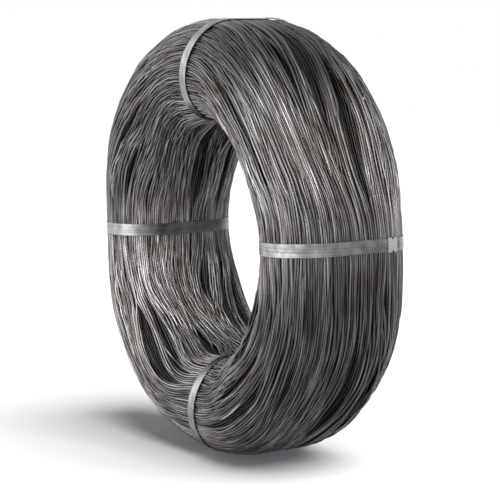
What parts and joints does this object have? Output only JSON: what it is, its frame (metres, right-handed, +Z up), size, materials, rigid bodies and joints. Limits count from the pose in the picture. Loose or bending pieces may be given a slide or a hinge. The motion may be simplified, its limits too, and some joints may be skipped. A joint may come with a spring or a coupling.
{
  "type": "wire rod coil",
  "caption": "Coil of steel wire rod standing on its rim, wound in laps round a clear bore and held by crimped steel straps round its section.",
  "frame": {"origin": "centre of the bore, at mid-width", "axes": "+Y along the bore towards the back end, where the seals are; +Z up, as the coil stands on its rim; +X to the right seen from the front end"},
  "size_m": [1.1389, 0.39, 1.1371],
  "materials": {
    "rod": "hot-rolled, dark grey mill scale, satin",
    "strap": "bright steel strapping, lightly scuffed",
    "seal": "bright crimped steel"
  },
  "bodies": {
    "root": {"rod_coil": "rod", "strap_right": "strap", "strap_top": "strap", "strap_left": "strap", "strap_bottom": "strap", "seal_right": "seal", "seal_top": "seal", "seal_left": "seal", "seal_bottom": "seal"}
  },
  "joints": []
}
